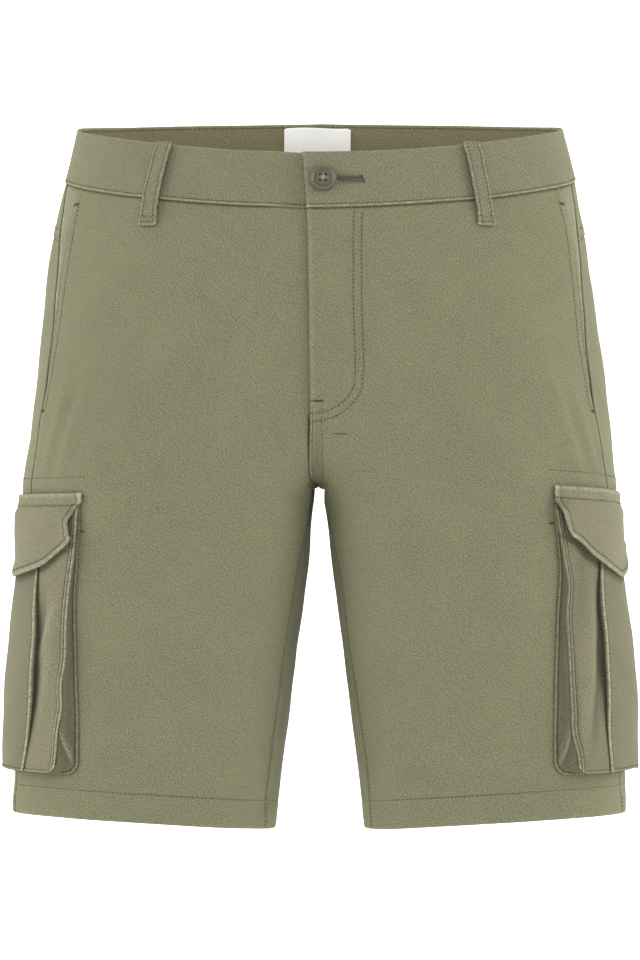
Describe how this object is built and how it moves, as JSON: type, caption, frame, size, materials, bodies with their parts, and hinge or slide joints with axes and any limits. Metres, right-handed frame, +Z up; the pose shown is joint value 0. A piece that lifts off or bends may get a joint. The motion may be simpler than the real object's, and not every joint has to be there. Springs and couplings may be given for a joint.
{
  "type": "cargo shorts",
  "caption": "Knee-length cotton twill cargo shorts, filled out as worn, with a buttoned waistband, belt loops, slanted front pockets and flapped bellows pockets on the thighs.",
  "frame": {"origin": "middle of the waist opening, at half the waistband's height at the sides", "axes": "+X towards the wearer's left, +Y towards the back, +Z up through the waist opening"},
  "size_m": [0.4446, 0.2388, 0.4997],
  "materials": {
    "twill": "washed olive cotton twill",
    "label_tape": "smooth off-white woven tape",
    "button_resin": "satin olive grey"
  },
  "bodies": {
    "root": {"front_left": "twill", "front_right": "twill", "back_left": "twill", "back_right": "twill", "yoke_left": "twill", "yoke_right": "twill", "waistband_left": "twill", "waistband_right": "twill", "pocket_facing_left": "twill", "pocket_facing_right": "twill", "cargo_face_left": "twill", "cargo_face_right": "twill", "cargo_gusset_left": "twill", "cargo_gusset_right": "twill", "cargo_flap_left": "twill", "cargo_flap_right": "twill", "fly_shield": "twill", "belt_loop_front_left": "twill", "belt_loop_front_right": "twill", "belt_loop_back_left": "twill", "belt_loop_back_right": "twill", "belt_loop_centre_back": "twill", "label": "label_tape", "button": "button_resin"}
  },
  "joints": []
}
